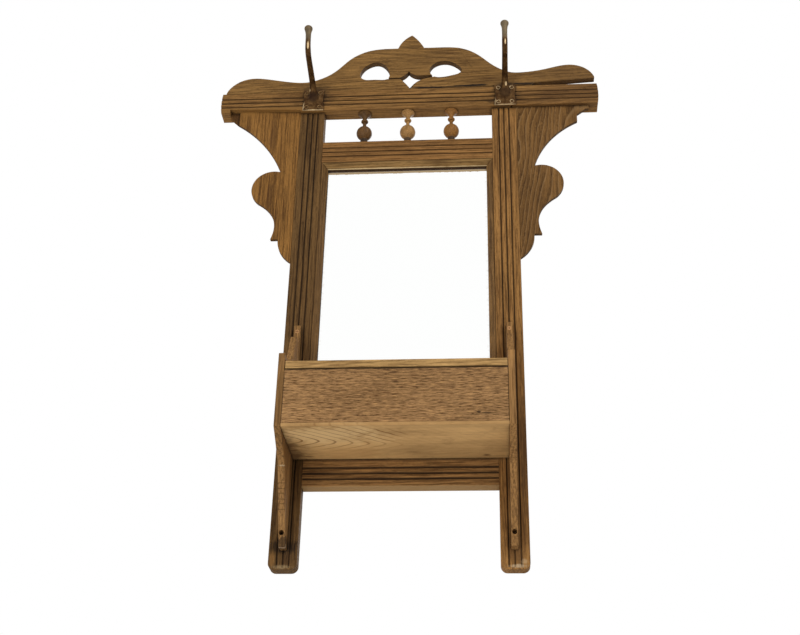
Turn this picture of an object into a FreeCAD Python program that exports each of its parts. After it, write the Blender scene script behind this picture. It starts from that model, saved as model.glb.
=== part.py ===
import FreeCAD, Part
import math
import os

from FreeCAD import Vector

# Wall shaving cabinet in oak: a reeded frame with a mirror, a scroll-cut crest board and wings, three
# turned spindles, two cast hat hooks and a comb box with a lifting lid. The front faces -Y, the wall is
# the plane y = 0, X runs to the right, and heights are measured from the feet of the stiles. At the end
# every piece moves down, so that the origin lies in the middle of the crest rail's back face.

# Frame stock
frame_width = 341.2
frame_depth = 19.05
stock_width = 38.1
bottom_rail_height = 114.2
mirror_opening_height = 498.8
spindle_opening_height = 58.8
foot_radius = 9.0

# Reeding: three grooves across each bar, placed as shares of its width
groove_shares = (0.30, 0.51, 0.72)
groove_width = 2.6
groove_depth = 2.0
groove_stop = 3.0

# Hidden tenons of the frame
tenon_thickness = 6.4
tenon_length = 20.0
tenon_width = 25.4
tenon_play = 0.1

# Crest rail
crest_rail_length = 600.0
crest_rail_depth = 25.4
crest_rail_width = 38.1
crest_rail_bow = 1.6

# Crest board, its outline in shares of half its length and of its full height
crest_inset = 2.0
crest_height = 111.8
crest_thickness = 11.2
crest_crack = 11.5
crest_crack_shares = ((0.675, 0.46), (0.66, 0.12), (0.05, 0.0))
crest_left_shares = (
    (-0.984, 0.0), (-0.975, 0.066), (-0.945, 0.165), (-0.914, 0.225), (-0.850, 0.275), (-0.750, 0.249),
    (-0.617, 0.182), (-0.543, 0.177), (-0.476, 0.229), (-0.423, 0.304), (-0.370, 0.429), (-0.318, 0.576),
    (-0.264, 0.674), (-0.210, 0.730), (-0.155, 0.753), (-0.058, 0.758),
)
crest_right_shares = (
    (0.084, 0.757), (0.228, 0.751), (0.282, 0.728), (0.336, 0.669), (0.390, 0.562), (0.443, 0.422),
    (0.499, 0.311), (0.554, 0.249), (0.600, 0.242), (0.747, 0.299), (0.876, 0.354), (0.938, 0.297),
    (0.968, 0.229), (0.991, 0.125),
)
finial_left_share = (-0.030, 0.894)
finial_tip_share = (0.018, 1.0)
finial_right_share = (0.058, 0.876)
left_eye_shares = (
    (-0.261, 0.260), (-0.242, 0.410), (-0.204, 0.490), (-0.160, 0.510), (-0.128, 0.454), (-0.104, 0.340),
    (-0.117, 0.190), (-0.180, 0.188), (-0.240, 0.200),
)
right_eye_shares = (
    (0.115, 0.345), (0.149, 0.470), (0.200, 0.503), (0.252, 0.449), (0.287, 0.336), (0.241, 0.233),
    (0.184, 0.202), (0.134, 0.228), (0.119, 0.280),
)
eye_arch_points = 5
star_top_share = (0.003, 0.324)
star_bottom_share = (0.011, 0.008)
star_right_shares = (
    (0.024, 0.271), (0.051, 0.242), (0.154, 0.238), (0.154, 0.224), (0.087, 0.180), (0.039, 0.109),
)
star_left_shares = (
    (-0.015, 0.106), (-0.044, 0.191), (-0.128, 0.194), (-0.128, 0.211), (-0.044, 0.214), (-0.018, 0.258),
)
crest_dowel_inward = 32.0
crest_dowel_outward = 34.0
crest_dowel_radius = 2.0
crest_dowel_reach = 14.0

# Wings, their outline in shares of their reach out from the stile and of their drop from the crest rail
wing_thickness = 6.35
wing_setback = 15.9
wing_drop = 278.7
wing_tip_share = 0.0215
wing_nose_share = (0.952, 0.0237)
wing_step_share = (0.832, 0.0606)
wing_step_foot_share = (0.832, 0.1076)
wing_arc_share = (0.437, 0.2368)
wing_cusp_share = (0.2256, 0.4073)
wing_lobe_shares = ((0.569, 0.4657), (0.4999, 0.6136))
wing_neck_share = (0.2643, 0.7313)
wing_foot_share = (0.2916, 0.8518)
wing_heel_share = (0.1885, 0.8518)
wing_tail_share = (0.1163, 0.9544)
wing_left_rises = (2.5, 7.0)
wing_left_nose_share = (0.965, 0.032)
wing_left_arc_start_share = (0.8784, 0.0673)
wing_left_arc_share = (0.5586, 0.1803)
wing_chip_length = 15.5
wing_chip_depth = 4.2
wing_dowel_radius = 1.5
wing_dowel_reach = 10.0
wing_dowel_shares = (0.08, 0.50, 0.80)

# Bead round the mirror, glass and backboard
bead_width = 9.7
bead_set_back = 0.6
bead_flat = 2.4
bead_lip_height = 4.0
bead_back_inset = 7.0
glass_thickness = 3.0
glass_play = 0.5
backboard_thickness = 2.9
pin_radius = 0.5
pin_length = 11.0
pin_grip = 5.0
pin_shares = (0.15, 0.5, 0.85)

# Spindles, heights in shares of the opening and radii in shares of the ball
spindle_pitch = 68.6
spindle_ball_radius = 12.2
spindle_peg_radius = 3.0
spindle_peg_length = 8.0
spindle_play = 0.05
spindle_ball_share = 0.335
spindle_bead_shares = (0.69, 0.77)
spindle_flare_share = 0.87
spindle_rim_share = 0.97
spindle_foot_radius = 5.6
spindle_neck_radius = 2.8
spindle_bead_radius = 5.6
spindle_flare_radius = 4.4
spindle_head_radius = 10.4

# Hat hooks and their screws
hook_left_x = -150.5
hook_right_x = 154.0
hook_plate_width = 33.5
hook_plate_height = 40.0
hook_plate_thickness = 2.6
hook_plate_scallop = 2.2
hook_plate_corner = 9.0
hook_arm_radius = 4.0
hook_boss_radius = 9.0
hook_boss_neck_radius = 4.6
hook_boss_length = 9.0
hook_root_rise = 8.0
hook_root_slope = 35.0
hook_root_length = 12.0
hook_shoulder_radius = 40.0
hook_slope = 11.0
hook_reach = 79.5
hook_bend_radius = 16.0
hook_upright = 31.0
hook_flare_length = 11.0
hook_ball_radius = 5.8
hook_screw_x = 21.0
hook_screw_z = 27.8
hook_screw_head_radius = 3.4
hook_screw_head_height = 1.9
hook_screw_radius = 1.7
hook_screw_length = 14.5

# Comb box
box_depth = 111.0
box_setback = 15.1
side_thickness = 9.0
box_base_height = 153.7
bottom_thickness = 4.8
front_thickness = 9.0
back_thickness = 12.7
front_height = 76.8
lid_thickness = 11.0
lid_seat_gap = 1.6
lid_end_gap = 0.6
lid_rear_gap = 0.5
neck_depth = 9.5
neck_top = 356.9
neck_foot = 338.9
neck_hollow = (15.5, 329.4)
shelf_corner = (33.0, 325.9)
slant_foot = (55.0, 279.9)
scoop_middle = (80.0, 261.9)
horn_top = 259.9
tail_front_height = 154.4
tail_knee = (71.0, 129.4)
tail_bend = (63.4, 123.7)
tail_start = (58.0, 115.9)
tail_end = (16.4, 25.5)

# Side board screws
side_screw_head_radius = 2.9
side_screw_head_height = 1.6
side_screw_radius = 1.5
side_screw_length = 24.0
side_screw_top = 346.9
side_screw_tail = 42.0
side_screw_tail_seat = 12.0
side_bore_play = 0.4

# Box nails
nail_radius = 0.8
nail_head_radius = 1.5
nail_head_height = 0.6
nail_length = 28.0
nail_front_shares = (0.2, 0.5, 0.8)
nail_floor_shares = (0.35, 0.75)

# Lid hinges
hinge_x = 95.0
hinge_length = 38.0
hinge_leaf_thickness = 1.2
hinge_fixed_leaf = 9.4
hinge_lid_leaf = 15.0
hinge_barrel_radius = 2.6
hinge_pin_radius = 1.2
hinge_pin_play = 0.05
hinge_lift = 0.3
hinge_knuckle_gap = 0.3
hinge_pin_head_radius = 1.9
hinge_pin_head_height = 0.8
hinge_screw_head_radius = 2.2
hinge_screw_head_height = 1.0
hinge_screw_radius = 1.1
hinge_screw_length = 9.0
hinge_screw_pitch = 24.0

# Hanger plates let into the back of the stiles
hang_drop = 29.1
hanger_width = 16.0
hanger_height = 48.0
hanger_thickness = 2.0
hanger_hole_radius = 3.5
hanger_pocket_radius = 6.0
hanger_pocket_depth = 8.0
hanger_screw_pitch = 34.0
hanger_screw_head_radius = 2.8
hanger_screw_head_height = 1.6
hanger_screw_radius = 1.4
hanger_screw_length = 11.0

# One overrun serves all cuts
overrun = 1.0

# Levels and planes worked out from the sizes above
face_y = -frame_depth
rail_face_y = -crest_rail_depth
stile_outer = frame_width / 2
stile_inner = stile_outer - stock_width
bottom_rail_top = bottom_rail_height + stock_width
top_rail_base = bottom_rail_top + mirror_opening_height
top_rail_top = top_rail_base + stock_width
crest_rail_base = top_rail_top + spindle_opening_height
crest_base = crest_rail_base + crest_rail_width
spindle_y = -crest_rail_depth / 2
glass_front_y = -bead_back_inset
glass_back_y = glass_front_y + glass_thickness
backboard_back_y = glass_back_y + backboard_thickness
hook_centre_z = crest_rail_base + crest_rail_width / 2
box_outer_half = stile_outer - box_setback
side_inner = box_outer_half - side_thickness
box_floor = box_base_height + bottom_thickness
front_top = box_floor + front_height
lid_base = front_top + lid_seat_gap
lid_top = lid_base + lid_thickness
hinge_axis_depth = back_thickness + lid_rear_gap / 2
hinge_axis_z = lid_top + hinge_lift + hinge_barrel_radius
stile_centre = stile_outer - stock_width / 2
wing_reach = crest_rail_length / 2 - wing_setback - stile_outer
crest_half_length = crest_rail_length / 2 - crest_inset
hang_height = crest_rail_base - hang_drop
origin_height = crest_rail_base + crest_rail_width / 2

# Small helpers
def block(x0, x1, y0, y1, z0, z1):
    return Part.makeBox(x1 - x0, y1 - y0, z1 - z0, Vector(x0, y0, z0))


def rod(radius, length, base, direction):
    return Part.makeCylinder(radius, length, base, direction)


def union(shapes):
    body = shapes[0].multiFuse(shapes[1:]) if len(shapes) > 1 else shapes[0]
    return body.removeSplitter()


def cut(body, tools):
    return body.cut(Part.makeCompound(tools)) if tools else body


def group(shapes):
    return Part.makeCompound(shapes)


# A wire is a start point and steps: ("line", end), ("arc", middle, end) or ("curve", points)
def wire(start, steps, place):
    edges = []
    here = place(start)
    for kind, *points in steps:
        there = [place(p) for p in points]
        if kind == "line":
            edges.append(Part.makeLine(here, there[0]))
        elif kind == "arc":
            edges.append(Part.Arc(here, there[0], there[1]).toShape())
        else:
            curve = Part.BSplineCurve()
            curve.interpolate([here] + there)
            edges.append(curve.toShape())
        here = there[-1]
    return Part.Wire(edges)


# A plate seen from the front: points are (x, z), its front face is at y_front
def front_plate(start, steps, y_front, thickness):
    face = Part.Face(wire(start, steps, lambda p: Vector(p[0], y_front, p[1])))
    return face.extrude(Vector(0, thickness, 0))


# A board seen from the side: points are (depth in front of the frame, z)
def side_plate(start, steps, x_left, thickness):
    face = Part.Face(wire(start, steps, lambda p: Vector(x_left, face_y - p[0], p[1])))
    return face.extrude(Vector(thickness, 0, 0))


# A wood screw or nail with its head's face at the point, pointing along the direction
def screw(point, direction, head_radius, head_height, radius, length):
    head = Part.makeCone(head_radius, radius, head_height, point, direction)
    shank_length = length - head_height - 2 * radius
    shank_start = point + direction * head_height
    shank = rod(radius, shank_length, shank_start, direction)
    tip = Part.makeCone(radius, radius / 8, 2 * radius, shank_start + direction * shank_length, direction)
    body = union([head, shank, tip])
    slot_width = radius / 2
    slot_depth = head_height / 2
    slot = Part.makeBox(2 * head_radius + 2 * overrun, slot_width, slot_depth + overrun)
    slot.translate(Vector(-head_radius - overrun, -slot_width / 2, -overrun))
    turn = FreeCAD.Rotation(up, direction)
    slot.Placement = FreeCAD.Placement(point, turn).multiply(slot.Placement)
    return body.cut(slot)


# The matching hole, slightly wider, with its countersink
def screw_hole(point, direction, head_radius, head_height, radius, length):
    play = spindle_play
    sink = Part.makeCone(head_radius + play, radius + play, head_height, point, direction)
    bore = rod(radius + play, length + play, point, direction)
    return sink.fuse(bore)


# Reeding: V grooves as wedges along X or Z, cut into a bar's front face
def groove_x(x0, x1, z_centre, y_front):
    half = groove_width / 2
    points = [Vector(x0, y_front, z_centre - half), Vector(x0, y_front, z_centre + half),
              Vector(x0, y_front + groove_depth, z_centre)]
    outer = [points[0] - Vector(0, overrun, 0), points[1] - Vector(0, overrun, 0)]
    ring = Part.makePolygon([outer[0], outer[1], points[1], points[2], points[0], outer[0]])
    return Part.Face(ring).extrude(Vector(x1 - x0, 0, 0))


def groove_z(x_centre, z0, z1, y_front):
    half = groove_width / 2
    points = [Vector(x_centre - half, y_front, z0), Vector(x_centre + half, y_front, z0),
              Vector(x_centre, y_front + groove_depth, z0)]
    outer = [points[0] - Vector(0, overrun, 0), points[1] - Vector(0, overrun, 0)]
    ring = Part.makePolygon([outer[0], outer[1], points[1], points[2], points[0], outer[0]])
    return Part.Face(ring).extrude(Vector(0, 0, z1 - z0))


def rail_grooves(x0, x1, z_base, width, y_front):
    return [groove_x(x0, x1, z_base + width * (1 - share), y_front) for share in groove_shares]


# Tenons sit in the middle of the bar's depth; a mortise is the same block with play round it
def tenon_x(x0, x1, z_base, play=0):
    y_mid = face_y / 2
    z_mid = z_base + stock_width / 2
    half_y = tenon_thickness / 2 + play
    half_z = tenon_width / 2 + play
    return block(x0, x1, y_mid - half_y, y_mid + half_y, z_mid - half_z, z_mid + half_z)


def tenon_top(side, play=0):
    y_mid = face_y / 2
    half_x = tenon_width / 2 + play
    half_y = tenon_thickness / 2 + play
    centre = side * stile_centre
    z0 = crest_rail_base - (overrun if play else 0)
    z1 = crest_rail_base + tenon_length + play
    return block(centre - half_x, centre + half_x, y_mid - half_y, y_mid + half_y, z0, z1)


# Places that several pieces share
def hook_screw_points(hook_x):
    y = rail_face_y - hook_plate_thickness
    return [Vector(hook_x + i * hook_screw_x / 2, y, hook_centre_z + k * hook_screw_z / 2)
            for i in (-1, 1) for k in (-1, 1)]


def side_screw_points(side):
    x = side * (box_outer_half - side_thickness / 2)
    return [(Vector(x, face_y - neck_depth, side_screw_top), neck_depth),
            (Vector(x, face_y - side_screw_tail_seat, side_screw_tail), side_screw_tail_seat)]


def hanger_screw_points(side):
    return [Vector(side * stile_centre, 0, hang_height + k * hanger_screw_pitch / 2) for k in (-1, 1)]


def hinge_screw_points(sign):
    fixed_depth = hinge_axis_depth - hinge_barrel_radius - hinge_knuckle_gap - hinge_fixed_leaf / 2
    lid_depth = hinge_axis_depth + hinge_barrel_radius + hinge_knuckle_gap + hinge_lid_leaf / 2
    depth = fixed_depth if sign < 0 else lid_depth
    z = lid_top + hinge_leaf_thickness
    return [Vector(side * hinge_x + k * hinge_screw_pitch / 2, face_y - depth, z)
            for side in (-1, 1) for k in (-1, 1)]


def wing_dowel_points(side):
    y = face_y + wing_thickness / 2
    return [Vector(side * stile_outer, y, crest_rail_base - share * wing_drop) for share in wing_dowel_shares]


def crest_dowel_points():
    y = rail_face_y + crest_thickness / 2
    places = [hook_left_x - crest_dowel_outward, hook_left_x + crest_dowel_inward,
              hook_right_x - crest_dowel_inward, hook_right_x + crest_dowel_outward]
    return [Vector(x, y, crest_base) for x in places]


def spindle_points():
    return [Vector(i * spindle_pitch, spindle_y, top_rail_top) for i in (-1, 0, 1)]


def glazing_pin_points(side):
    y = backboard_back_y + pin_radius
    return [Vector(side * stile_inner, y, bottom_rail_top + share * mirror_opening_height)
            for share in pin_shares]


hook_screw_size = (hook_screw_head_radius, hook_screw_head_height, hook_screw_radius, hook_screw_length)
side_screw_size = (side_screw_head_radius, side_screw_head_height, side_screw_radius, side_screw_length)
hinge_screw_size = (hinge_screw_head_radius, hinge_screw_head_height, hinge_screw_radius, hinge_screw_length)
hanger_screw_size = (hanger_screw_head_radius, hanger_screw_head_height, hanger_screw_radius,
                     hanger_screw_length)
nail_size = (nail_head_radius, nail_head_height, nail_radius, nail_length)
back = Vector(0, 1, 0)
front = Vector(0, -1, 0)
up = Vector(0, 0, 1)
down = Vector(0, 0, -1)
right = Vector(1, 0, 0)


# Stiles: reeded bars with rounded feet, mortised for the rails and let out for the hangers
def stile(side):
    x0 = min(side * stile_inner, side * stile_outer)
    x1 = x0 + stock_width
    r = foot_radius
    c = r * (1 - math.sqrt(0.5))
    body = front_plate((x0 + r, 0), [
        ("line", (x1 - r, 0)), ("arc", (x1 - c, c), (x1, r)), ("line", (x1, crest_rail_base)),
        ("line", (x0, crest_rail_base)), ("line", (x0, r)), ("arc", (x0 + c, c), (x0 + r, 0)),
    ], face_y, frame_depth)
    body = union([body, tenon_top(side)])
    tools = []
    for share in groove_shares:
        x = side * (stile_outer - share * stock_width)
        tools.append(groove_z(x, groove_stop, crest_rail_base, face_y))
    for z_base in (bottom_rail_height, top_rail_base):
        inner = side * (stile_inner - overrun)
        deep = side * (stile_inner + tenon_length + tenon_play)
        tools.append(tenon_x(min(inner, deep), max(inner, deep), z_base, tenon_play))
    centre = side * stile_centre
    half_w = hanger_width / 2
    half_h = hanger_height / 2
    tools.append(block(centre - half_w, centre + half_w, -hanger_thickness, overrun,
                       hang_height - half_h, hang_height + half_h))
    tools.append(rod(hanger_pocket_radius, hanger_pocket_depth, Vector(centre, 0, hang_height), front))
    tools += [screw_hole(p, front, *hanger_screw_size) for p in hanger_screw_points(side)]
    inward = Vector(-side, 0, 0)
    tools += [rod(wing_dowel_radius, wing_dowel_reach, p, inward) for p in wing_dowel_points(side)]
    for point, seat in side_screw_points(side):
        tools.append(rod(side_screw_radius + spindle_play, side_screw_length, point, back))
    tools += [rod(pin_radius, pin_grip, p, Vector(side, 0, 0)) for p in glazing_pin_points(side)]
    return cut(body, tools)


# Rails between the stiles
def inner_rail(z_base, with_spindles):
    body = block(-stile_inner, stile_inner, face_y, 0, z_base, z_base + stock_width)
    long_tenon = tenon_x(-stile_inner - tenon_length, stile_inner + tenon_length, z_base)
    body = union([body, long_tenon])
    tools = rail_grooves(-stile_inner, stile_inner, z_base, stock_width, face_y)
    if with_spindles:
        tools += [rod(spindle_peg_radius + spindle_play, spindle_peg_length + spindle_play, p, down)
                  for p in spindle_points()]
    return cut(body, tools)


# Crest rail, its ends slightly bowed
def crest_rail():
    x = crest_rail_length / 2 - crest_rail_bow
    z0 = crest_rail_base
    z1 = crest_base
    mid = (z0 + z1) / 2
    body = front_plate((-x, z0), [
        ("line", (x, z0)), ("arc", (x + crest_rail_bow, mid), (x, z1)),
        ("line", (-x, z1)), ("arc", (-x - crest_rail_bow, mid), (-x, z0)),
    ], rail_face_y, crest_rail_depth)
    reach = crest_rail_length / 2 + overrun
    tools = rail_grooves(-reach, reach, z0, crest_rail_width, rail_face_y)
    tools += [tenon_top(side, tenon_play) for side in (-1, 1)]
    tools.append(left_wing_rabbet())
    tools += [rod(spindle_peg_radius + spindle_play, spindle_peg_length + spindle_play,
                  Vector(p.x, p.y, z0), up) for p in spindle_points()]
    tools += [rod(crest_dowel_radius, crest_dowel_reach, p, down) for p in crest_dowel_points()]
    for hook_x in (hook_left_x, hook_right_x):
        tools += [screw_hole(p, back, *hook_screw_size) for p in hook_screw_points(hook_x)]
    return cut(body, tools)


# The left wing's slanting top stands in a rabbet at the crest rail's lower front edge
def left_wing_top():
    inner = (-stile_outer, crest_rail_base + wing_left_rises[0])
    return inner, (-stile_outer - wing_reach, crest_rail_base + wing_left_rises[1])


def left_wing_rabbet():
    inner, outer = left_wing_top()
    low = crest_rail_base - overrun
    return front_plate((inner[0], low), [
        ("line", inner), ("line", outer), ("line", (outer[0], low)), ("line", (inner[0], low)),
    ], rail_face_y - overrun, face_y + wing_thickness - rail_face_y + overrun)


# Crest board: scrolled top edge, two eyes and a four-pointed star whose side points run into the eyes
# It has split away from the rail along its foot, ever wider towards the right end
def crest_point(share):
    return (share[0] * crest_half_length, crest_base + share[1] * crest_height)


def crest_board():
    left = [crest_point(s) for s in crest_left_shares]
    right = [crest_point(s) for s in crest_right_shares]
    right_foot = (right[-1][0], crest_base + crest_crack)
    crack = [(x * crest_half_length, crest_base + rise * crest_crack) for x, rise in crest_crack_shares]
    body = front_plate(left[0], [
        ("curve", *left[1:]),
        ("arc", crest_point(finial_left_share), crest_point(finial_tip_share)),
        ("arc", crest_point(finial_right_share), right[0]),
        ("curve", *right[1:]), ("line", right_foot),
        *[("line", point) for point in crack], ("line", left[0]),
    ], rail_face_y, crest_thickness)
    dowels = [rod(crest_dowel_radius, crest_dowel_reach, p, up) for p in crest_dowel_points()]
    return cut(body, [eye(left_eye_shares), eye(right_eye_shares), star()] + dowels)


# An eye is an arched top on a nearly flat sill
def eye(shares):
    points = [crest_point(s) for s in shares]
    return front_plate(points[0], [
        ("curve", *points[1:eye_arch_points + 1]), ("curve", *points[eye_arch_points + 1:], points[0]),
    ], rail_face_y - overrun, crest_thickness + 2 * overrun)


# The star's four sides are hollow, and a saw slit runs from each side point into the eye beside it
def star():
    top = crest_point(star_top_share)
    bottom = crest_point(star_bottom_share)
    right = [crest_point(s) for s in star_right_shares]
    left = [crest_point(s) for s in star_left_shares]
    return front_plate(top, [
        ("arc", right[0], right[1]), ("line", right[2]), ("line", right[3]), ("line", right[4]),
        ("arc", right[5], bottom),
        ("arc", left[0], left[1]), ("line", left[2]), ("line", left[3]), ("line", left[4]),
        ("arc", left[5], top),
    ], rail_face_y - overrun, crest_thickness + 2 * overrun)


def crest_dowels():
    return group([rod(crest_dowel_radius, 2 * crest_dowel_reach, p - up * crest_dowel_reach, up)
                  for p in crest_dowel_points()])


# Wings: scroll-cut brackets in the angle of stile and crest rail. The left one is broken at its tip.
def wing(side, broken):
    def at(share):
        return (side * (stile_outer + share[0] * wing_reach), crest_rail_base - share[1] * wing_drop)

    if broken:
        inner, outer = left_wing_top()
        nose_shares = [wing_left_nose_share, wing_left_arc_start_share]
        arc_share = wing_left_arc_share
    else:
        inner, outer = at((0, 0)), at((1, 0))
        nose_shares = [wing_nose_share, wing_step_share, wing_step_foot_share]
        arc_share = wing_arc_share
    steps = [("line", outer), ("line", at((1, wing_tip_share)))]
    steps += [("line", at(share)) for share in nose_shares]
    steps += [
        ("arc", at(arc_share), at(wing_cusp_share)),
        ("arc", at(wing_lobe_shares[0]), at(wing_lobe_shares[1])),
        ("curve", at(wing_neck_share), at(wing_foot_share)),
        ("line", at(wing_heel_share)),
        ("arc", at(wing_tail_share), at((0, 1))),
        ("line", inner),
    ]
    body = front_plate(inner, steps, face_y, wing_thickness)
    tools = [rod(wing_dowel_radius, wing_dowel_reach, p, Vector(side, 0, 0)) for p in wing_dowel_points(side)]
    if broken:
        x0 = side * (stile_outer + wing_reach - wing_chip_length)
        x1 = side * (stile_outer + wing_reach + overrun)
        tools.append(block(min(x0, x1), max(x0, x1), face_y - overrun, face_y + wing_chip_depth,
                           crest_rail_base - wing_drop * wing_step_foot_share[1] - overrun,
                           outer[1] + overrun))
    return cut(body, tools)


def wing_dowels():
    points = wing_dowel_points(-1) + wing_dowel_points(1)
    return group([rod(wing_dowel_radius, 2 * wing_dowel_reach, p - right * wing_dowel_reach, right)
                  for p in points])


# Bead sticks, mitred at the corners
def bead_section(place):
    top = face_y + bead_set_back
    lip = glass_front_y - bead_lip_height
    points = [(0, top), (bead_flat, top), (bead_width, lip), (bead_width, glass_front_y), (0, glass_front_y)]
    corners = [place(a, y) for a, y in points]
    return Part.Face(Part.makePolygon(corners + [corners[0]]))


def mitre_prism(half_length, half_other, rises):
    far = half_other
    y = face_y - overrun
    corners = [Vector(-half_length, y, 0), Vector(half_length, y, 0),
               Vector(half_length - far, y, rises * far), Vector(-half_length + far, y, rises * far)]
    ring = Part.makePolygon(corners + [corners[0]])
    return Part.Face(ring).extrude(Vector(0, frame_depth + 2 * overrun, 0))


def bead_level(z, rises):
    face = bead_section(lambda a, y: Vector(-stile_inner, y, z + rises * a))
    stick = face.extrude(Vector(2 * stile_inner, 0, 0))
    keep = mitre_prism(stile_inner, stile_inner / 2, rises)
    keep.translate(Vector(0, 0, z))
    return stick.common(keep)


def bead_upright(side):
    face = bead_section(lambda a, y: Vector(side * (stile_inner - a), y, bottom_rail_top))
    stick = face.extrude(Vector(0, 0, mirror_opening_height))
    half = mirror_opening_height / 2
    keep = mitre_prism(half, stile_inner / 2, 1)
    turn = FreeCAD.Rotation(Vector(0, 1, 0), -90 * side)
    centre = Vector(side * stile_inner, 0, bottom_rail_top + half)
    keep.Placement = FreeCAD.Placement(centre, turn).multiply(keep.Placement)
    return stick.common(keep)


def mirror_glass():
    return block(-stile_inner + glass_play, stile_inner - glass_play, glass_front_y, glass_back_y,
                 bottom_rail_top + glass_play, top_rail_base - glass_play)


def mirror_backboard():
    return block(-stile_inner + glass_play, stile_inner - glass_play, glass_back_y, backboard_back_y,
                 bottom_rail_top + glass_play, top_rail_base - glass_play)


def glazing_pins():
    return group([rod(pin_radius, pin_length, p + Vector(side * pin_grip, 0, 0), Vector(-side, 0, 0))
                  for side in (-1, 1) for p in glazing_pin_points(side)])


# Spindles: one turned profile from peg to peg
def spindle(point):
    r = spindle_ball_radius
    h = spindle_opening_height
    peg = spindle_peg_radius
    length = spindle_peg_length
    foot = spindle_foot_radius
    neck = spindle_neck_radius
    ball_z = h * spindle_ball_share
    foot_top = ball_z - math.sqrt(r * r - foot * foot)
    neck_base = ball_z + math.sqrt(r * r - neck * neck)
    bead_base, bead_top = [h * share for share in spindle_bead_shares]
    rim_z = h * spindle_rim_share
    head = spindle_head_radius

    def place(p):
        return Vector(p[0], 0, p[1])

    outline = wire((0, -length), [
        ("line", (peg, -length)), ("line", (peg, 0)), ("line", (foot, 0)), ("line", (foot, foot_top)),
        ("arc", (r, ball_z), (neck, neck_base)), ("line", (neck, bead_base)),
        ("arc", (spindle_bead_radius, (bead_base + bead_top) / 2), (neck, bead_top)),
        ("arc", (spindle_flare_radius, h * spindle_flare_share), (head, rim_z)), ("line", (head, h)),
        ("line", (peg, h)), ("line", (peg, h + length)), ("line", (0, h + length)), ("line", (0, -length)),
    ], place)
    body = Part.Face(outline).revolve(Vector(0, 0, 0), up, 360)
    body.translate(point)
    return body


# Hat hook: scalloped plate, boss, and one round arm that runs out and turns up to a ball
def hook(hook_x):
    w = hook_plate_width / 2
    h = hook_plate_height / 2
    c = hook_plate_corner
    s = hook_plate_scallop
    y_front = rail_face_y - hook_plate_thickness

    def at(x, z):
        return (hook_x + x, hook_centre_z + z)

    plate = front_plate(at(-w + c / 4, -h), [
        ("line", at(w - c / 4, -h)), ("line", at(w, -h + c / 4)), ("line", at(w, -h + c)),
        ("arc", at(w - s, 0), at(w, h - c)), ("line", at(w, h - c / 4)), ("line", at(w - c / 4, h)),
        ("line", at(w - c, h)), ("arc", at(0, h - s), at(-w + c, h)), ("line", at(-w + c / 4, h)),
        ("line", at(-w, h - c / 4)), ("line", at(-w, h - c)), ("arc", at(-w + s, 0), at(-w, -h + c)),
        ("line", at(-w, -h + c / 4)), ("line", at(-w + c / 4, -h)),
    ], y_front, hook_plate_thickness)
    plate = cut(plate, [screw_hole(p, back, *hook_screw_size) for p in hook_screw_points(hook_x)])
    path, root, tip = hook_path(hook_x, y_front)
    section = Part.Wire([Part.makeCircle(hook_arm_radius, root, path.Edges[0].tangentAt(0))])
    arm = path.makePipeShell([section], True, False)
    boss = Part.makeCone(hook_boss_radius, hook_boss_neck_radius, hook_boss_length, root, front)
    seat = rod(hook_boss_radius, hook_plate_thickness / 2, root, back)
    neck = tip - up * hook_flare_length
    flare = Part.makeCone(hook_arm_radius, hook_ball_radius, hook_flare_length, neck, up)
    ball = Part.makeSphere(hook_ball_radius, tip)
    return union([plate, arm, boss, seat, flare, ball])


# The arm's centre line: a rising root, a shoulder, a gentle run outwards and a bend to upright
def hook_path(hook_x, y_front):
    steep = math.radians(hook_root_slope)
    gentle = math.radians(hook_slope)
    shoulder = hook_shoulder_radius
    bend = hook_bend_radius

    def at(out, z):
        return Vector(hook_x, y_front - out, z)

    root_z = hook_centre_z + hook_root_rise
    knee_out = hook_root_length * math.cos(steep)
    knee_z = root_z + hook_root_length * math.sin(steep)
    centre_out = knee_out + shoulder * math.sin(steep)
    centre_z = knee_z - shoulder * math.cos(steep)

    def on_shoulder(angle):
        return at(centre_out - shoulder * math.sin(angle), centre_z + shoulder * math.cos(angle))

    run_start = on_shoulder(gentle)
    run_length = hook_reach - bend * (1 - math.sin(gentle)) - (y_front - run_start.y)
    run_end = run_start + Vector(0, -run_length, run_length * math.tan(gentle))
    bend_out = hook_reach - bend
    bend_z = run_end.z + bend * math.cos(gentle)

    def on_bend(angle):
        return at(bend_out + bend * math.sin(angle), bend_z - bend * math.cos(angle))

    upright_base = on_bend(math.pi / 2)
    root = at(0, root_z)
    knee = at(knee_out, knee_z)
    tip = upright_base + up * hook_upright
    path = Part.Wire([
        Part.makeLine(root, knee), Part.Arc(knee, on_shoulder((steep + gentle) / 2), run_start).toShape(),
        Part.makeLine(run_start, run_end),
        Part.Arc(run_end, on_bend((gentle + math.pi / 2) / 2), upright_base).toShape(),
        Part.makeLine(upright_base, tip),
    ])
    return path, root, tip


def hook_screws(hook_x):
    return group([screw(p, back, *hook_screw_size) for p in hook_screw_points(hook_x)])


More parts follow.
